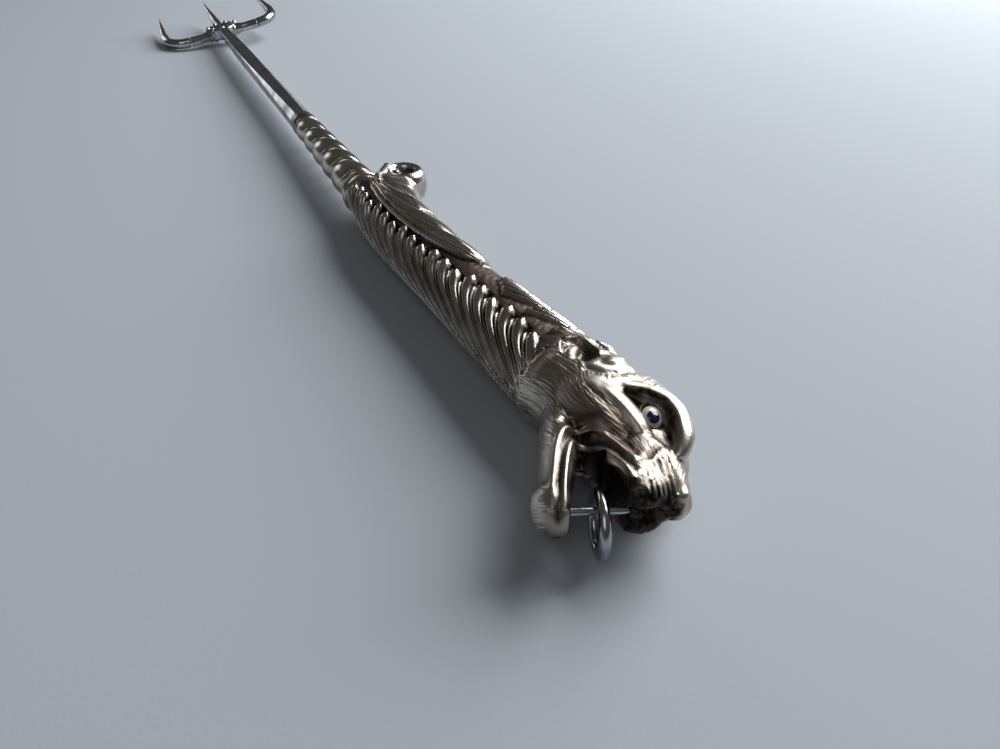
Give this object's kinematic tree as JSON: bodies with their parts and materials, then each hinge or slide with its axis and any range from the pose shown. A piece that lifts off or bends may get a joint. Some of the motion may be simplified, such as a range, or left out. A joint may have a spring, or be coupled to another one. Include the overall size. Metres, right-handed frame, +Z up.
{
  "type": "toasting fork",
  "caption": "Silver-plated toasting fork: trident, tapered square shank, twisted ferrule and a leaf-carved grip ending in an open-mouthed big cat's head that holds a swinging ring.",
  "frame": {"origin": "middle of the bounding box in X and Y, on the table surface in Z", "axes": "+Y along the fork towards the tine points, +X towards the back of the animal's neck, +Z up, with the fork lying on its left cheek"},
  "size_m": [0.0532, 0.387, 0.0193],
  "materials": {
    "shank_silver": "smooth polished silver plate",
    "grip_silver": "cast and chased silver plate, polished on the high parts and oxidised dark in the hollows",
    "pitch": "dark handle pitch, hidden inside",
    "eye_glass": "opaque glass eye, pale with a dark blue pupil"
  },
  "bodies": {
    "fork": {"shank": "shank_silver", "fork_hub": "shank_silver", "centre_tine": "shank_silver", "left_tine": "shank_silver", "right_tine": "shank_silver", "shank_collar": "grip_silver", "twisted_ferrule": "grip_silver", "handle_collar": "grip_silver", "handle_shell_right": "grip_silver", "handle_shell_left": "grip_silver", "handle_filler": "pitch", "leaf_scroll": "grip_silver", "head_casting": "grip_silver", "lower_jaw": "grip_silver", "eye_bezel_right": "grip_silver", "eye_bezel_left": "grip_silver", "glass_eye_right": "eye_glass", "glass_eye_left": "eye_glass", "mouth_pin": "shank_silver"},
    "ring": {"hanging_ring": "shank_silver"}
  },
  "joints": [
    {"name": "ring_swing", "type": "hinge", "parent": "fork", "child": "ring", "pos_m": [-0.00512, -0.18692, 0.00914], "axis": [-0.9173, 0.3982, -0.0046], "continuous": true}
  ]
}
